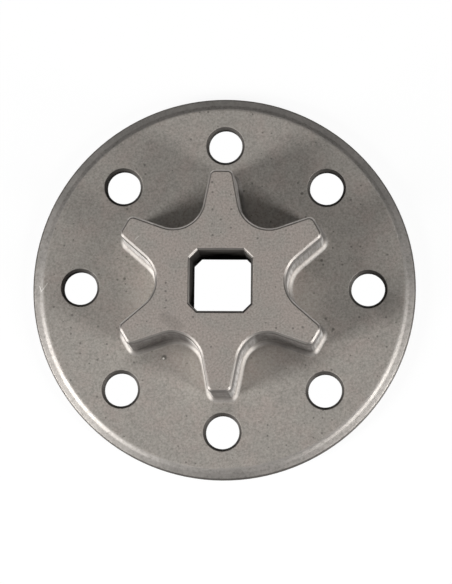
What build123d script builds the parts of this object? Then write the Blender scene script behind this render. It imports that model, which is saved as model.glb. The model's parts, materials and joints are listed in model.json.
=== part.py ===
from build123d import *
import math
import os

# Chainsaw drive sprocket: a round guard plate and a toothed star, pressed and sintered as one piece.
# Sizes are in millimetres. The origin is on the shaft's axis at the plate's back face.
# +Z runs along the shaft towards the star's top face, and one tooth points along +Y.

# Guard plate
plate_diameter = 51.1
plate_thickness = 2.2
rim_step_width = 0.53
rim_step_depth = 0.27
rim_band_width = 0.87
rim_band_drop = 0.15
rim_shoulder_radius = 0.8
rim_edge_break = 0.18
back_edge_chamfer = 0.8

# Ring of round holes that lighten the plate
hole_count = 8
hole_diameter = 4.5
hole_circle_diameter = 38.4
hole_edge_break = 0.34

# Star whose teeth drive the chain
tooth_count = 6
star_height = 9.0
tip_diameter = 29.4
tip_width = 3.0
tip_corner_radius = 0.9
root_diameter = 17.2
gullet_radius = 4.0
star_top_chamfer = 0.33
star_base_fillet = 0.7

# Square drive bore with cut corners
bore_across_flats = 8.0
bore_corner_cut = 1.0
bore_front_chamfer = 0.3
bore_back_chamfer = 1.0

# How far a cutting tool runs past the face that it leaves
cut_overrun = 0.2

# Sizes that follow from the driving dimensions
total_height = plate_thickness + star_height
plate_radius = plate_diameter / 2
hole_radius = hole_diameter / 2
root_radius = root_diameter / 2
tooth_pitch_angle = 360 / tooth_count
first_tooth_angle = 90


def make_plate():
    """Turn the plate's half section about the shaft axis: flat face, rounded shoulder, step, band and land."""
    band_top = plate_thickness - rim_step_depth
    land_top = band_top - rim_band_drop
    step_foot = plate_radius - rim_band_width
    section = make_face(
        Polyline(
            (0, 0),
            (plate_radius - back_edge_chamfer, 0),
            (plate_radius, back_edge_chamfer),
            (plate_radius, land_top),
            (step_foot, band_top),
            (step_foot - rim_step_width, plate_thickness),
            (0, plate_thickness),
            close=True,
        )
    )
    shoulder = section.vertices().group_by(Axis.Y)[-1].sort_by(Axis.X)[-1]
    section = fillet(shoulder, rim_shoulder_radius)
    rim_edge = section.vertices().group_by(Axis.X)[-1].sort_by(Axis.Y)[-1]
    section = chamfer(rim_edge, rim_edge_break)
    return revolve(Plane.XZ * section, axis=Axis.Z)


def make_star_outline():
    """Draw the star: flat tips, and flanks that leave each tip corner tangent to the gullet's arc."""
    tip_corner = Vector(tip_diameter / 2, tip_width / 2)
    gullet_centre = Vector(root_radius + gullet_radius, 0).rotate(Axis.Z, tooth_pitch_angle / 2)
    gullet_bottom = Vector(root_radius, 0).rotate(Axis.Z, tooth_pitch_angle / 2)

    to_centre = gullet_centre - tip_corner
    flank_length = math.sqrt(to_centre.length**2 - gullet_radius**2)
    flank_turn = math.degrees(math.asin(gullet_radius / to_centre.length))
    flank_foot = tip_corner + to_centre.normalized().rotate(Axis.Z, flank_turn) * flank_length

    other_corner = Vector(tip_corner.X, -tip_corner.Y)
    other_foot = Vector(flank_foot.X, -flank_foot.Y)
    next_tooth_foot = other_foot.rotate(Axis.Z, tooth_pitch_angle)
    tooth = [
        Line(other_foot, other_corner),
        Line(other_corner, tip_corner),
        Line(tip_corner, flank_foot),
        ThreePointArc(flank_foot, gullet_bottom, next_tooth_foot),
    ]
    turns = [first_tooth_angle + index * tooth_pitch_angle for index in range(tooth_count)]
    outline = make_face([Rot(0, 0, turn) * edge for turn in turns for edge in tooth])
    tip_corners = outline.vertices().group_by(SortBy.DISTANCE)[-1]
    return fillet(tip_corners, tip_corner_radius)


def add_star(plate):
    """Raise the star from the plate, round its base into the plate's face and break its top edge."""
    body = plate + extrude(make_star_outline(), total_height)
    back_to_front = body.faces().filter_by(Axis.Z).sort_by(Axis.Z)
    plate_face = back_to_front[1]
    body = body.fillet(star_base_fillet, plate_face.inner_wires()[0].edges())
    top_face = body.faces().sort_by(Axis.Z)[-1]
    return body.chamfer(star_top_chamfer, None, top_face.outer_wire().edges())


def cut_bore(body):
    """Cut the square bore through plate and star, with a fine front edge and a lead-in at the back."""
    square = Rectangle(bore_across_flats, bore_across_flats)
    square = chamfer(square.vertices(), bore_corner_cut)
    body = body - extrude(square, total_height)
    front_mouth = body.faces().sort_by(Axis.Z)[-1].inner_wires()[0]
    body = body.chamfer(bore_front_chamfer, None, front_mouth.edges())
    back_mouth = body.faces().sort_by(Axis.Z)[0].inner_wires()[0]
    return body.chamfer(bore_back_chamfer, None, back_mouth.edges())


def cut_holes(body):
    """Drill the ring of holes right through, with a small edge break at both faces of the plate."""
    flare = hole_radius + hole_edge_break + cut_overrun
    section = make_face(
        Polyline(
            (0, -cut_overrun),
            (flare, -cut_overrun),
            (hole_radius, hole_edge_break),
            (hole_radius, plate_thickness - hole_edge_break),
            (flare, plate_thickness + cut_overrun),
            (hole_radius, plate_thickness + cut_overrun),
            (hole_radius, total_height + cut_overrun),
            (0, total_height + cut_overrun),
            close=True,
        )
    )
    drill = revolve(Plane.XZ * section, axis=Axis.Z)
    return body - PolarLocations(hole_circle_diameter / 2, hole_count) * drill


sprocket = cut_holes(cut_bore(add_star(make_plate())))
sprocket.label = "sprocket"

os.makedirs("parts", exist_ok=True)
export_step(sprocket, "parts/sprocket.step")
print(f"sprocket: {sprocket.volume:.0f} cubic mm, {sprocket.bounding_box().size}")
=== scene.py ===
# %% [markdown]
# # A chainsaw sprocket, dressed in sintered steel
# The sprocket is one piece: a round guard plate with eight holes, and a six-toothed star that drives
# the chain. Steel powder is pressed in a die and sintered, so there is nothing to assemble here. The
# lesson is about light and about one honest metal finish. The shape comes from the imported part, and
# it stays as it is: every cell below either looks at it, lights it or gives its surface a history.

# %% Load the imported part
import json
import math

import bpy
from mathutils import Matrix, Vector


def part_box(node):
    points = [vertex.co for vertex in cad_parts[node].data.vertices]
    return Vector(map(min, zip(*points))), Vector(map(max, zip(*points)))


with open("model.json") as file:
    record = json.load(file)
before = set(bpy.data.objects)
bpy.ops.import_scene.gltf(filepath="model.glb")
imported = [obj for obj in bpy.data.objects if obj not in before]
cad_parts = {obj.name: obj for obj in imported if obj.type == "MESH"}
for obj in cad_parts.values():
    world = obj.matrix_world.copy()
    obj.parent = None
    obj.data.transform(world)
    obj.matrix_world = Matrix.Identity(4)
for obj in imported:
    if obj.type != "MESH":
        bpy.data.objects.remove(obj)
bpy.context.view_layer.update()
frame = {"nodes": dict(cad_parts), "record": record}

sprocket = frame["nodes"]["sprocket"]

# %% [markdown]
# ## The sizes that the finish needs
# A finish follows the form: wear sits on edges, die marks sit on walls, and stains gather round the
# holes. So the script needs to know where those are. The part's own box gives its radius and its
# height, and the record's bolt pattern gives the ring of holes and the height of the plate's face.
# The bore is 8 mm across. All lengths are in metres, as everywhere in Blender.

# %% Read the part's main sizes
mm = 0.001
lowest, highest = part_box("sprocket")
plate_radius = (highest.x - lowest.x) / 2
star_top = highest.z
hole_ring = next(mount for mount in frame["record"]["mounts"] if mount["name"] == "plate_holes")
plate_face = hole_ring["pos_m"][2]
hole_ring_radius = hole_ring["dims"]["pcd_mm"] / 2 * mm
hole_radius = hole_ring["dims"]["hole_r_mm"] * mm
hole_count = hole_ring["dims"]["count"]
hole_edge_break = 0.34 * mm
bore_half_width = 4.0 * mm
star_tip_radius = 14.7 * mm
print(f"plate radius {plate_radius / mm:.2f} mm, face at {plate_face / mm:.2f} mm, star top at {star_top / mm:.2f} mm")
print(f"{hole_count} holes of radius {hole_radius / mm:.3f} mm on a ring of radius {hole_ring_radius / mm:.2f} mm")

# %% [markdown]
# ## The camera
# The photograph looks down on the plate, a few degrees off its axis: the near walls of the star show
# and the far ones don't. It was taken from far away with a long lens, so the star's top is hardly
# larger than its foot. A camera in Blender could be aimed with a constraint, but here its three axes
# are worked out by hand. Then the small roll and the off-centre framing are plain numbers to change.

# %% Aim the camera
photo_width, photo_height = 452, 584
camera_azimuth = math.radians(24.98)
camera_elevation = math.radians(82.56)
camera_roll = math.radians(-0.63)
camera_distance = 0.521
pixels_per_metre = 7505.0
plate_centre_x, plate_centre_y = 223.89, 288.41

aim = Vector((0, 0, plate_face))
back = Vector((
    math.sin(camera_azimuth) * math.cos(camera_elevation),
    -math.cos(camera_azimuth) * math.cos(camera_elevation),
    math.sin(camera_elevation),
))
level = Vector((0, 1, 0)).cross(back).normalized()
upright = back.cross(level)
right = level * math.cos(camera_roll) - upright * math.sin(camera_roll)
up = level * math.sin(camera_roll) + upright * math.cos(camera_roll)

camera = bpy.data.objects.new("camera", bpy.data.cameras.new("camera"))
bpy.context.scene.collection.objects.link(camera)
place = camera.matrix_world.copy()
for column, axis in enumerate((right, up, back, aim + back * camera_distance)):
    for row in range(3):
        place[row][column] = axis[row]
camera.matrix_world = place
camera.data.sensor_width = 36.0
camera.data.lens = pixels_per_metre * camera_distance * camera.data.sensor_width / photo_height
camera.data.shift_x = (photo_width / 2 - plate_centre_x) / photo_height
camera.data.shift_y = (plate_centre_y - photo_height / 2) / photo_height
bpy.context.scene.camera = camera
bpy.context.scene.view_settings.view_transform = "Standard"
print(f"camera: lens {camera.data.lens:.1f} mm, shift {camera.data.shift_x:.4f}, {camera.data.shift_y:.4f}")

# %% [markdown]
# ## Helpers for shader nodes
# A procedural finish is a small machine of nodes. Adding nodes by hand takes four lines each, which
# hides the idea, so a few helpers come first. Each takes sockets or plain values and gives back one
# socket: a value that is a socket is linked, and a number or a colour is written into the input.

# %% Node helpers
def feed(tree, target, value):
    """Links a socket into an input, or writes a plain value into it."""
    if isinstance(value, bpy.types.NodeSocket):
        tree.links.new(value, target)
    else:
        target.default_value = value


def add(tree, kind, **inputs):
    """Adds one shader node and feeds its inputs by name, with _ for a space."""
    made = tree.nodes.new("ShaderNode" + kind)
    for name, value in inputs.items():
        feed(tree, made.inputs[name.replace("_", " ")], value)
    return made


def calculate(tree, operation, first, second=0.0, third=0.0):
    """One step of arithmetic between numbers."""
    made = tree.nodes.new("ShaderNodeMath")
    made.operation = operation
    for target, value in zip(made.inputs, (first, second, third)):
        feed(tree, target, value)
    return made.outputs[0]


def multiply(tree, first, *others):
    """The product of two or more numbers."""
    for other in others:
        first = calculate(tree, "MULTIPLY", first, other)
    return first


def distance(tree, first, second):
    """The length of a step with two legs at a right angle."""
    squares = calculate(tree, "MULTIPLY_ADD", first, first, multiply(tree, second, second))
    return calculate(tree, "SQRT", squares)


def ramp(tree, value, start, end, low=0.0, high=1.0):
    """A soft step: low up to start, high from end on."""
    made = tree.nodes.new("ShaderNodeMapRange")
    made.interpolation_type = "SMOOTHSTEP"
    for name, fed in (("Value", value), ("From Min", start), ("From Max", end), ("To Min", low), ("To Max", high)):
        feed(tree, made.inputs[name], fed)
    return made.outputs[0]


def blend(tree, amount, first, second):
    """Goes from one number to another by an amount."""
    made = tree.nodes.new("ShaderNodeMix")
    for index, value in ((0, amount), (2, first), (3, second)):
        feed(tree, made.inputs[index], value)
    return made.outputs[0]


def blend_colour(tree, amount, first, second, how="MIX"):
    """Mixes two colours by an amount."""
    made = tree.nodes.new("ShaderNodeMix")
    made.data_type = "RGBA"
    made.blend_type = how
    for index, value in ((0, amount), (6, first), (7, second)):
        feed(tree, made.inputs[index], value)
    return made.outputs[2]


print("node helpers: feed, add, calculate, multiply, distance, ramp, blend, blend_colour")

# %% [markdown]
# ## The floor
# The sprocket lies on a plain white sheet. A lit sheet is never quite even, and turning the lamps up
# until it is white would burn the metal out. So the sheet is pale and honestly lit, and for the rays
# that the camera sees it by, most of it glows at a strength of exactly one, which is white. The rest
# stays plain matt white, so that the shadow under the rim is kept. Metal sees the sheet too, but
# dimmer, and not the part of it that the plate covers: that is why the walls of the holes stay dark.

# %% Lay the floor
floor_half_width = 1.5
floor_drop = 0.02 * mm
floor_glow_share = 0.93
sheet_white = (0.9, 0.9, 0.9, 1.0)
table_grey = (0.1, 0.1, 0.1, 1.0)
sheet_radius = 60 * mm

corners = [(-1, -1), (1, -1), (1, 1), (-1, 1)]
floor_mesh = bpy.data.meshes.new("floor")
floor_mesh.from_pydata([(x * floor_half_width, y * floor_half_width, -floor_drop) for x, y in corners], [], [(0, 1, 2, 3)])
floor = bpy.data.objects.new("floor", floor_mesh)
bpy.context.scene.collection.objects.link(floor)

paper = bpy.data.materials.new("white_sheet")
paper.use_nodes = True
tree = paper.node_tree
tree.nodes.clear()
path = add(tree, "LightPath")
on_floor = add(tree, "SeparateXYZ", Vector=add(tree, "NewGeometry").outputs["Position"])
from_axis = distance(tree, on_floor.outputs["X"], on_floor.outputs["Y"])
beyond_sheet = ramp(tree, from_axis, sheet_radius, 2 * sheet_radius)
looked_at = calculate(tree, "MAXIMUM", path.outputs["Is Camera Ray"], path.outputs["Is Transmission Ray"])
under_plate = ramp(tree, from_axis, plate_radius, 0.97 * plate_radius, floor_glow_share, 1.0)
beside_plate = ramp(tree, from_axis, plate_radius, 1.1 * plate_radius, 0.0, floor_glow_share)
on_sheet = calculate(tree, "SUBTRACT", 1.0, beyond_sheet)
mirrored = multiply(tree, path.outputs["Is Glossy Ray"], beside_plate, on_sheet)
glow_share = calculate(tree, "MAXIMUM", multiply(tree, looked_at, under_plate), mirrored)
matt = add(tree, "BsdfDiffuse", Color=blend_colour(tree, beyond_sheet, sheet_white, table_grey))
glow = add(tree, "Emission", Color=(1, 1, 1, 1), Strength=1.0)
sheet = tree.nodes.new("ShaderNodeMixShader")
feed(tree, sheet.inputs[0], glow_share)
feed(tree, sheet.inputs[1], matt.outputs[0])
feed(tree, sheet.inputs[2], glow.outputs[0])
output = add(tree, "OutputMaterial", Surface=sheet.outputs[0])
floor_mesh.materials.append(paper)
print(f"floor: {2 * floor_half_width:.1f} m square, {floor_glow_share:.0%} glow for the rays that see it")

# %% [markdown]
# ## Light
# The bright arcs on the rim tell where the lamps stood: one softbox low on the left and one low on
# the right, both a little towards the viewer and about a third of the way up the sky. The shadows in
# the star's upper gaps say the same. Both boxes are taller than wide. The left one is the stronger,
# because the right half of the plate lies in the star's shade and is darker. A dim grey world fills
# in what they leave.

# %% Set the lamps
lamp_distance = 0.6
lamps = {
    "left_softbox": (206, 27, 4.95, 0.16, 0.32),
    "right_softbox": (331, 26, 4.15, 0.14, 0.38),
    "back_fill": (100, 72, 0.28, 0.20, 0.20),
}

for name, (bearing, elevation, watts, width, tall) in lamps.items():
    lamp_data = bpy.data.lights.new(name, "AREA")
    lamp_data.shape = "RECTANGLE"
    lamp_data.size = width
    lamp_data.size_y = tall
    lamp_data.energy = watts
    lamp = bpy.data.objects.new(name, lamp_data)
    bpy.context.scene.collection.objects.link(lamp)
    turn = math.radians(bearing)
    lift = math.radians(elevation)
    towards = Vector((math.cos(turn) * math.cos(lift), math.sin(turn) * math.cos(lift), math.sin(lift)))
    lamp.location = towards * lamp_distance
    lamp.rotation_euler = (-towards).to_track_quat("-Z", "Y").to_euler()
    lamp.visible_camera = False
    print(f"{name}: {watts} W at {[round(v, 3) for v in lamp.location]}")

horizon_grey = 0.9
room_grey = 0.04
world = bpy.data.worlds.new("studio")
bpy.context.scene.world = world
world.use_nodes = True
tree = world.node_tree
tree.nodes.clear()
path = add(tree, "LightPath")
outward = add(tree, "SeparateXYZ", Vector=add(tree, "TexCoord").outputs["Generated"])
is_low = ramp(tree, outward.outputs["Z"], 0.22, 0.02)
is_behind = ramp(tree, outward.outputs["Y"], -0.5, 0.1)
lit_wall = multiply(tree, is_low, is_behind)
room = blend_colour(tree, lit_wall, (room_grey, room_grey, room_grey, 1), (horizon_grey, horizon_grey, horizon_grey, 1))
dim = add(tree, "Background", Color=room, Strength=1.0)
pale = add(tree, "Background", Color=(1, 1, 1, 1), Strength=1.0)
sky = tree.nodes.new("ShaderNodeMixShader")
looked_at = calculate(tree, "MAXIMUM", path.outputs["Is Camera Ray"], path.outputs["Is Transmission Ray"])
feed(tree, sky.inputs[0], looked_at)
feed(tree, sky.inputs[1], dim.outputs[0])
feed(tree, sky.inputs[2], pale.outputs[0])
output = add(tree, "OutputWorld", Surface=sky.outputs[0])
print("world: grey", room_grey, "with a lighter wall of", horizon_grey, "behind, white where the camera sees it")

# %% [markdown]
# ## Sintered steel: where is what
# Every layer of the finish asks the same few questions of a point on the surface: how far is it from
# the shaft's axis, from the nearest hole and from the bore, and does the surface there lie flat,
# stand upright or slope? The answers come from the point's own coordinates and its normal. All eight
# holes are handled at once: the angle round the axis is wrapped to one eighth of a turn.

# %% Ask the surface where it is
steel = bpy.data.materials.new("sintered_steel_finish")
steel.use_nodes = True
tree = steel.node_tree
tree.nodes.clear()
where = add(tree, "TexCoord").outputs["Object"]
spot = add(tree, "SeparateXYZ", Vector=where)
across, along, height = spot.outputs["X"], spot.outputs["Y"], spot.outputs["Z"]
from_axis = distance(tree, across, along)

rim_width = 1.35 * mm
half_pitch = math.pi / hole_count
swing = calculate(tree, "WRAP", calculate(tree, "ARCTAN2", along, across), half_pitch, -half_pitch)
past_ring = calculate(tree, "MULTIPLY_ADD", from_axis, calculate(tree, "COSINE", swing), -hole_ring_radius)
beside_hole = multiply(tree, from_axis, calculate(tree, "SINE", swing))
from_hole = distance(tree, past_ring, beside_hole)
from_bore = calculate(tree, "MAXIMUM", calculate(tree, "ABSOLUTE", across), calculate(tree, "ABSOLUTE", along))

facing = add(tree, "SeparateXYZ", Vector=add(tree, "NewGeometry").outputs["Normal"])
levelness = calculate(tree, "ABSOLUTE", facing.outputs["Z"])
at_rim = calculate(tree, "GREATER_THAN", from_axis, plate_radius - rim_width)
is_flat = multiply(tree, ramp(tree, levelness, 0.965, 0.995), calculate(tree, "SUBTRACT", 1.0, at_rim))
is_wall = ramp(tree, levelness, 0.35, 0.1)
is_slope = calculate(tree, "SUBTRACT", calculate(tree, "SUBTRACT", 1.0, is_flat), is_wall)
is_slope = calculate(tree, "MAXIMUM", is_slope, 0.0)

in_hole = ramp(tree, from_hole, hole_radius + hole_edge_break + 0.04 * mm, hole_radius + hole_edge_break - 0.06 * mm)
in_bore = multiply(tree, ramp(tree, from_bore, bore_half_width + 0.1 * mm, bore_half_width + 0.02 * mm), is_wall)
print("surface questions: from_axis, from_hole, from_bore, is_flat, is_wall, is_slope, in_hole, in_bore")

# %% [markdown]
# ## Powder, grain and pores
# Under a glass the metal is a tight grain of pressed powder, steam-treated to a warm grey. Three
# layers make it. A broad, faint mottle says that the die didn't press evenly. The grain is a noise
# with cells of a quarter of a millimetre. Pores are the gaps between powder grains: a Voronoi texture
# cuts the surface into cells, a few of the cells are chosen by their own random colour, and each of
# those holds one small dark pit.

# %% Press the powder
mottle_cell = 3.0 * mm
grain_cell = 0.26 * mm
pore_cell = 1.2 * mm
pore_radius = 0.16 * mm
pore_share = 0.16
olive_powder = (0.388, 0.365, 0.335, 1)
brown_powder = (0.410, 0.366, 0.336, 1)
grain_shade = (0.21, 0.195, 0.176, 1)
grain_light = (0.56, 0.525, 0.475, 1)
pore_black = (0.10, 0.09, 0.082, 1)

mottle = add(tree, "TexNoise", Vector=where, Scale=1 / mottle_cell, Detail=3.0, Roughness=0.55).outputs["Fac"]
grain = add(tree, "TexNoise", Vector=where, Scale=1 / grain_cell, Detail=1.5, Roughness=0.6).outputs["Fac"]
browner = ramp(tree, height, plate_face + 1.0 * mm, star_top - 1.0 * mm, -0.08, 0.08)
browner = ramp(tree, calculate(tree, "ADD", mottle, browner), 0.3, 0.7)
colour = blend_colour(tree, browner, olive_powder, brown_powder)
colour = blend_colour(tree, ramp(tree, grain, 0.54, 0.26, 0.0, 0.45), colour, grain_shade)
colour = blend_colour(tree, ramp(tree, grain, 0.50, 0.74, 0.0, 0.38), colour, grain_light)

pores = add(tree, "TexVoronoi")
pores.voronoi_dimensions = "2D"
feed(tree, pores.inputs["Vector"], where)
feed(tree, pores.inputs["Scale"], 1 / pore_cell)
chance = add(tree, "SeparateColor", Color=pores.outputs["Color"])
chosen = calculate(tree, "LESS_THAN", chance.outputs["Red"], pore_share)
pore_size = ramp(tree, chance.outputs["Green"], 0.0, 1.0, 0.6 * pore_radius / pore_cell, 1.4 * pore_radius / pore_cell)
pit = multiply(tree, ramp(tree, calculate(tree, "DIVIDE", pores.outputs["Distance"], pore_size), 1.0, 0.3), chosen, is_flat)
colour = blend_colour(tree, multiply(tree, pit, 0.6), colour, pore_black)
print(f"powder: grain {grain_cell / mm:.2f} mm, pores of {2 * pore_radius / mm:.2f} mm in {pore_share:.0%} of the cells")

# %% [markdown]
# ## Rubbed edges and die marks
# Parts tumble in a drum after sintering, so whatever sticks out is rubbed smooth and light: the
# shoulder and the edge of the rim, the star's top edge and the round foot of its walls. The walls slid
# along the die when the part was pushed out. They carry fine upright scratches, which are made with a
# noise that is stretched along the height.

# %% Rub the edges and scratch the walls
rubbed_steel = (0.33, 0.312, 0.294, 1)
rim_steel = (0.325, 0.307, 0.289, 1)
worn_foot = (0.56, 0.532, 0.504, 1)
drawn_steel = (0.93, 0.905, 0.88, 1)
knock_cell = 0.4 * mm
# The knock colours also serve the painted shade and painted light on the rim's band, further down.
knock_and_band_light_colour = (0.58, 0.55, 0.52, 1)
knock_and_band_shade_dark = (0.15, 0.14, 0.13, 1)
scratch_cell = 0.34 * mm
scratch_stretch = 0.06

# Painted light: the plate round the foot of the star, on its lower half, is lightened in place of light that reaches
# those gaps.
painted_light_near_foot = multiply(
    tree,
    ramp(tree, from_axis, 14.5 * mm, 11.5 * mm),
    ramp(tree, height, plate_face + 0.3 * mm, plate_face + 0.1 * mm),
    ramp(tree, along, 3 * mm, -3 * mm),
)
colour = blend_colour(tree, multiply(tree, painted_light_near_foot, 0.13), colour, (0.8, 0.70, 0.64, 1))

breaks = ramp(tree, grain, 0.25, 0.55, 0.55, 1.0)
rubbed = multiply(tree, is_slope, breaks)
at_base = ramp(tree, height, plate_face + 1.0 * mm, plate_face + 0.6 * mm)
in_star = ramp(tree, from_axis, 0.75 * plate_radius, 0.7 * plate_radius)
worn_colour = blend_colour(tree, multiply(tree, at_base, in_star), rubbed_steel, worn_foot)
worn_colour = blend_colour(tree, at_rim, worn_colour, rim_steel)
colour = blend_colour(tree, multiply(tree, rubbed, 0.8), colour, worn_colour)
knock = add(tree, "TexNoise", Vector=where, Scale=1 / knock_cell, Detail=4.0, Roughness=0.7).outputs["Fac"]
colour = blend_colour(tree, multiply(tree, at_rim, ramp(tree, knock, 0.50, 0.70, 0.0, 0.22)), colour, knock_and_band_light_colour)
colour = blend_colour(tree, multiply(tree, at_rim, ramp(tree, knock, 0.52, 0.30, 0.0, 0.5)), colour, knock_and_band_shade_dark)
# Painted shade and painted highlight along the star's top edge where it faces away: a dark line on the edge's upper
# part and a light line on its lower part.
far_side = multiply(tree, ramp(tree, facing.outputs["Y"], -0.25, 0.0), is_slope, in_star)
painted_shade_line = multiply(tree, far_side, ramp(tree, height, star_top - 0.17 * mm, star_top - 0.12 * mm))
painted_highlight_line = multiply(
    tree,
    far_side,
    ramp(tree, facing.outputs["Y"], 0.3, 0.5),
    ramp(tree, height, star_top - 0.12 * mm, star_top - 0.18 * mm),
    ramp(tree, height, star_top - 0.5 * mm, star_top - 0.4 * mm),
)
colour = blend_colour(tree, multiply(tree, painted_shade_line, 0.7), colour, (0.08, 0.072, 0.065, 1))
colour = blend_colour(tree, multiply(tree, painted_highlight_line, 0.7), colour, (0.8, 0.76, 0.72, 1))
# Painted shadow: a dark line on the lower part of the star's top edge on the sides that face the front, under its
# highlight.
near_side = multiply(tree, ramp(tree, facing.outputs["Y"], 0.2, -0.1), is_slope, in_star)
painted_shadow_line = multiply(
    tree,
    near_side,
    ramp(tree, facing.outputs["X"], 0.2, -0.1, 0.8, 1.0),
    ramp(tree, height, star_top - 0.23 * mm, star_top - 0.27 * mm),
    ramp(tree, height, star_top - 0.5 * mm, star_top - 0.4 * mm),
)
colour = blend_colour(tree, multiply(tree, painted_shadow_line, 0.75), colour, (0.08, 0.072, 0.065, 1))

drawn = add(tree, "Mapping", Vector=where, Scale=(1, 1, scratch_stretch)).outputs[0]
scratch = add(tree, "TexNoise", Vector=drawn, Scale=1 / scratch_cell, Detail=3.0, Roughness=0.6).outputs["Fac"]
scratched = multiply(tree, is_wall, ramp(tree, scratch, 0.40, 0.58, 0.5, 1.0))
colour = blend_colour(tree, scratched, colour, drawn_steel)
print(f"edges rubbed, walls scratched with streaks {scratch_cell / mm:.2f} mm wide")

# %% [markdown]
# ## Painted shade on the near walls
# The star's walls that face the viewer lie in shade, and that shade is painted into their colour,
# while the walls at the sides stay bare and bright. The painted shade is laid by direction: the more a
# wall faces the front, the more of it there is, and the walls that face right or away, and the top of
# the walls under the edge, get some too. A noise that is stretched sideways breaks it into smears. The
# corners at the foot of the two lower gaps get painted shade as well.

# %% Paint shade on the near walls
# The dark colour below is painted shade, for the near walls and the corners of the lower gaps.
painted_shade_colour = (0.10, 0.09, 0.082, 1)
gap_x, gap_y = 6.3 * mm, -10.9 * mm
smear_cell = 0.9 * mm
smear_stretch = 2.5

sideways = distance(tree, facing.outputs["X"], facing.outputs["Y"])
to_front = calculate(tree, "DIVIDE", multiply(tree, facing.outputs["Y"], -1.0), sideways)
front_share = ramp(tree, to_front, 0.72, 0.95, 0.0, 1.0)
right_share = multiply(tree, ramp(tree, facing.outputs["X"], -0.2, 0.3), ramp(tree, to_front, 0.3, 0.8, 0.25, 0.68))
smeared = add(tree, "Mapping", Vector=where, Scale=(1, 1, smear_stretch)).outputs[0]
smear = add(tree, "TexNoise", Vector=smeared, Scale=1 / smear_cell, Detail=3.0, Roughness=0.6).outputs["Fac"]
painted_wall_shade = ramp(tree, smear, 0.35, 0.6, 0.84, 0.95)
painted_wall_shade = calculate(tree, "MAXIMUM", multiply(tree, painted_wall_shade, front_share), multiply(tree, right_share, 0.9))
painted_wall_shade = multiply(tree, painted_wall_shade, is_wall)
painted_wall_shade = calculate(tree, "ADD", painted_wall_shade, multiply(tree, front_share, is_slope, in_star, blend(tree, at_base, 0.3, 0.5)))
under_edge = multiply(
    tree,
    ramp(tree, height, star_top - 1.9 * mm, star_top - 1.4 * mm, 0.0, 0.92),
    ramp(tree, facing.outputs["X"], 0.2, -0.1, 0.4, 1.0),
)
upper_half = multiply(tree, ramp(tree, facing.outputs["X"], -0.1, 0.4), ramp(tree, height, star_top - 6 * mm, star_top - 2 * mm, 0.0, 0.75))
shade = multiply(tree, is_wall, in_star, calculate(tree, "MAXIMUM", under_edge, upper_half))
away = multiply(tree, in_star, ramp(tree, facing.outputs["Y"], -0.15, 0.25, 0.0, 0.45))
away = multiply(tree, away, calculate(tree, "MAXIMUM", is_wall, multiply(tree, is_slope, at_base)))
shade = calculate(tree, "MAXIMUM", shade, away)
painted_wall_shade = calculate(tree, "MINIMUM", calculate(tree, "MAXIMUM", painted_wall_shade, shade), 0.95)
colour = blend_colour(tree, painted_wall_shade, colour, painted_shade_colour)

# Painted shade in the corners at the foot of the two lower gaps.
beside_gap = calculate(tree, "SUBTRACT", calculate(tree, "ABSOLUTE", across), gap_x)
from_gap = distance(tree, beside_gap, calculate(tree, "SUBTRACT", along, gap_y))
painted_corner_shade = multiply(
    tree,
    ramp(tree, from_gap, 2.5 * mm, 3.7 * mm),
    ramp(tree, from_axis, 12.5 * mm, 11.0 * mm),
    ramp(tree, along, -5.5 * mm, -7.0 * mm),
    ramp(tree, height, plate_face + 0.5 * mm, plate_face + 0.2 * mm),
    ramp(tree, across, -2 * mm, 2 * mm, 0.25, 0.42),
    calculate(tree, "MAXIMUM", is_flat, front_share),
)
colour = blend_colour(tree, painted_corner_shade, colour, painted_shade_colour)
print("film of soot on the walls that face the front")

# %% [markdown]
# ## Marks of its own life
# No two parts look alike. This one has a nick with a bright bottom beside its lower left tooth, a few
# dark specks on the plate, a smear on the star's top and a scratched spot on the left of the rim, and a
# painted shadow darkens the plate beside the right hole. Each is a spot or a stroke in plan view: the
# shader measures how far a point is from it and fades it in. They are few, so they are listed one by one, in
# millimetres.

# %% Add the marks
specks = {
    "by_the_upper_right_hole": (10.3, 12.8, 0.30),
    "under_the_upper_right_tooth": (13.0, 3.8, 0.28),
    "right_gap": (13.6, -4.0, 0.25),
    "by_the_lower_right_tooth": (14.6, -5.4, 0.28),
    "left_gap": (-13.3, 1.25, 0.26),
    "top_tooth": (-1.2, 13.0, 0.22),
}
strokes = {
    "dash_by_the_upper_left_tooth": (-11.6, 10.0, -10.8, 10.25, 0.16),
    "smear_on_the_star": (-7.2, -4.9, -5.5, -6.0, 1.1),
}
bright_strokes = {
    "left_rim_down": (-24.7, 0.2, -24.4, -0.5, 0.08),
    "left_rim_up": (-24.3, -0.4, -23.6, 0.6, 0.08),
    "upper_left_tooth": (-11.2, 5.4, -10.8, 5.8, 0.06),
    "upper_left_edge": (-9.5, 7.75, -9.0, 7.5, 0.2),
}
nick_x, nick_y = -7.85, -9.28
nick_radius = 0.5
shadow_patch_x, shadow_patch_y = 22.2, -2.2
shadow_patch_radius = 2.6
# The dark colour serves the specks, the strokes and the nick, and also the painted shadow beside the right hole.
soot_and_shade = (0.11, 0.10, 0.09, 1)
bare_steel = (0.85, 0.82, 0.78, 1)


def off_by(tree, x, y):
    """How far a point is from a place in plan view, given in millimetres."""
    return distance(tree, calculate(tree, "SUBTRACT", across, x * mm), calculate(tree, "SUBTRACT", along, y * mm))


def spot(tree, x, y, radius):
    """A soft round spot."""
    return ramp(tree, off_by(tree, x, y), radius * mm, 0.35 * radius * mm)


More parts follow.
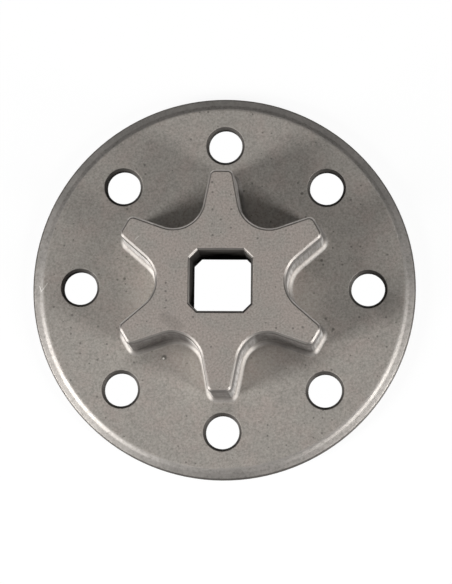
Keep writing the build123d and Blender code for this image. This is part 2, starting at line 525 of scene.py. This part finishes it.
def stroke(tree, x0, y0, x1, y1, width):
    """A soft straight stroke from one place to another."""
    length = math.hypot(x1 - x0, y1 - y0)
    run_x, run_y = (x1 - x0) / length, (y1 - y0) / length
    from_x = calculate(tree, "SUBTRACT", across, x0 * mm)
    from_y = calculate(tree, "SUBTRACT", along, y0 * mm)
    forward = calculate(tree, "MULTIPLY_ADD", from_x, run_x, multiply(tree, from_y, run_y))
    aside = calculate(tree, "MULTIPLY_ADD", from_x, -run_y, multiply(tree, from_y, run_x))
    past_end = calculate(tree, "SUBTRACT", calculate(tree, "ABSOLUTE", calculate(tree, "SUBTRACT", forward, length / 2 * mm)), length / 2 * mm)
    gap = distance(tree, aside, calculate(tree, "MAXIMUM", past_end, 0.0))
    return ramp(tree, gap, width * mm, 0.3 * width * mm)


for name, (x, y, radius) in specks.items():
    colour = blend_colour(tree, multiply(tree, spot(tree, x, y, radius), is_flat, 0.7), colour, soot_and_shade)
for name, ends in strokes.items():
    colour = blend_colour(tree, multiply(tree, stroke(tree, *ends), is_flat, 0.2), colour, soot_and_shade)
for name, ends in bright_strokes.items():
    colour = blend_colour(tree, multiply(tree, stroke(tree, *ends), 0.5), colour, bare_steel)
# Painted shadow: a darker patch on the plate beside the right hole, broken by the smear noise.
painted_shadow_patch = multiply(tree, spot(tree, shadow_patch_x, shadow_patch_y, shadow_patch_radius), ramp(tree, smear, 0.3, 0.6, 0.4, 1.0), 0.3)
colour = blend_colour(tree, painted_shadow_patch, colour, soot_and_shade)
colour = blend_colour(tree, multiply(tree, spot(tree, nick_x, nick_y, nick_radius), 0.75), colour, soot_and_shade)
colour = blend_colour(tree, spot(tree, nick_x - 0.1, nick_y - 0.15, 0.4 * nick_radius), colour, bare_steel)
print(len(specks), "specks,", len(strokes) + len(bright_strokes), "strokes, one stain and one nick")

# %% [markdown]
# ## Dark holes
# The round holes and the bore lie in deep shade, and that shade is painted into the colour of their
# walls and of the breaks of their edges. The bore's lip on its near and right sides and the rim's
# upright land get the same painted shade. In the photograph their walls are nearly black.

# %% Blacken the holes
# The near-black colour is painted shade, for the holes, the bore, the bore's lip and the rim's land.
painted_shade_black = (0.06, 0.055, 0.05, 1)
on_land = multiply(
    tree,
    ramp(tree, levelness, 0.9, 0.8),
    ramp(tree, from_axis, plate_radius - 0.25 * mm, plate_radius - 0.15 * mm),
)
colour = blend_colour(tree, multiply(tree, in_hole, 0.85), colour, painted_shade_black)
colour = blend_colour(tree, multiply(tree, in_bore, 0.9), colour, painted_shade_black)
on_lip = multiply(tree, is_slope, ramp(tree, from_bore, bore_half_width + 0.4 * mm, bore_half_width + 0.3 * mm))
near_lip = multiply(
    tree,
    ramp(tree, height, star_top - 0.20 * mm, star_top - 0.24 * mm),
    ramp(tree, facing.outputs["Y"], -0.3, -0.1),
)
right_lip = multiply(
    tree,
    ramp(tree, height, star_top - 0.06 * mm, star_top - 0.14 * mm),
    ramp(tree, facing.outputs["X"], -0.3, -0.5),
)
bore_lip = multiply(tree, on_lip, calculate(tree, "MAXIMUM", near_lip, right_lip))
colour = blend_colour(tree, multiply(tree, bore_lip, 0.85), colour, painted_shade_black)
colour = blend_colour(tree, multiply(tree, on_land, 0.7), colour, painted_shade_black)
print("holes, bore and the rim's land blackened")

# %% [markdown]
# ## Put the finish together
# The grain, the pores and the scratches are real relief, so the same textures also bend the normal.
# The flats are dull and the rubbed edges shine more.

# %% Join the layers
flat_roughness = 0.66
rubbed_roughness = 0.54
foot_roughness = 0.7
hole_roughness = 0.75
rim_roughness = 0.55
wall_roughness = 0.85
edge_rounding = 0.15 * mm
rim_rounding = 0.2 * mm
band_inside = 1.05 * mm
band_outside = 0.18 * mm
band_lean = 0.15
relief = calculate(tree, "SUBTRACT", grain, multiply(tree, pit, 1.2))
relief = blend(tree, is_wall, relief, scratch)
rounded = add(tree, "Bevel", Radius=blend(tree, at_rim, edge_rounding, rim_rounding))
rounded.samples = 6
on_band = multiply(
    tree,
    ramp(tree, from_axis, plate_radius - band_inside + 0.1 * mm, plate_radius - band_inside + 0.3 * mm),
    ramp(tree, from_axis, plate_radius - band_outside + 0.05 * mm, plate_radius - band_outside),
    calculate(tree, "GREATER_THAN", facing.outputs["Z"], 0.5),
)
outward_x = calculate(tree, "DIVIDE", across, from_axis)
outward_y = calculate(tree, "DIVIDE", along, from_axis)
# Painted shade on the lower left of the rim's band and painted light on its far half.
band_shade_lower_left = multiply(tree, ramp(tree, across, 16 * mm, -2 * mm), ramp(tree, along, 2 * mm, -6 * mm))
band_light_far_half = ramp(tree, along, 2 * mm, 12 * mm)
colour = blend_colour(tree, multiply(tree, on_band, band_shade_lower_left, 0.3), colour, knock_and_band_shade_dark)
colour = blend_colour(tree, multiply(tree, on_band, band_light_far_half, 0.25), colour, knock_and_band_light_colour)
lean = multiply(tree, on_band, band_lean)
leaning = add(tree, "CombineXYZ", X=multiply(tree, outward_x, lean), Y=multiply(tree, outward_y, lean), Z=0.0)
leaned = tree.nodes.new("ShaderNodeVectorMath")
feed(tree, leaned.inputs[0], rounded.outputs[0])
feed(tree, leaned.inputs[1], leaning.outputs[0])
upright_normal = tree.nodes.new("ShaderNodeVectorMath")
upright_normal.operation = "NORMALIZE"
feed(tree, upright_normal.inputs[0], leaned.outputs[0])
bump = add(tree, "Bump", Strength=0.35, Distance=0.015 * mm, Height=relief, Normal=upright_normal.outputs[0])
roughness = blend(tree, multiply(tree, at_base, in_star), rubbed_roughness, foot_roughness)
roughness = blend(tree, at_rim, roughness, rim_roughness)
roughness = blend(tree, is_flat, roughness, flat_roughness)
roughness = blend(tree, is_wall, roughness, wall_roughness)
roughness = blend(tree, in_hole, roughness, hole_roughness)
roughness = calculate(tree, "ADD", roughness, ramp(tree, mottle, 0.3, 0.7, -0.03, 0.03))
edge_tint = (0.35, 0.34, 0.33, 1)
metal = add(tree, "BsdfPrincipled", Base_Color=colour, Metallic=1.0, Roughness=roughness, Normal=bump.outputs[0])
metal.inputs["Specular Tint"].default_value = edge_tint
output = add(tree, "OutputMaterial", Surface=metal.outputs[0])
sprocket.material_slots[0].material = steel
print("steel: finish on", sprocket.name, "with", len(tree.nodes), "nodes")
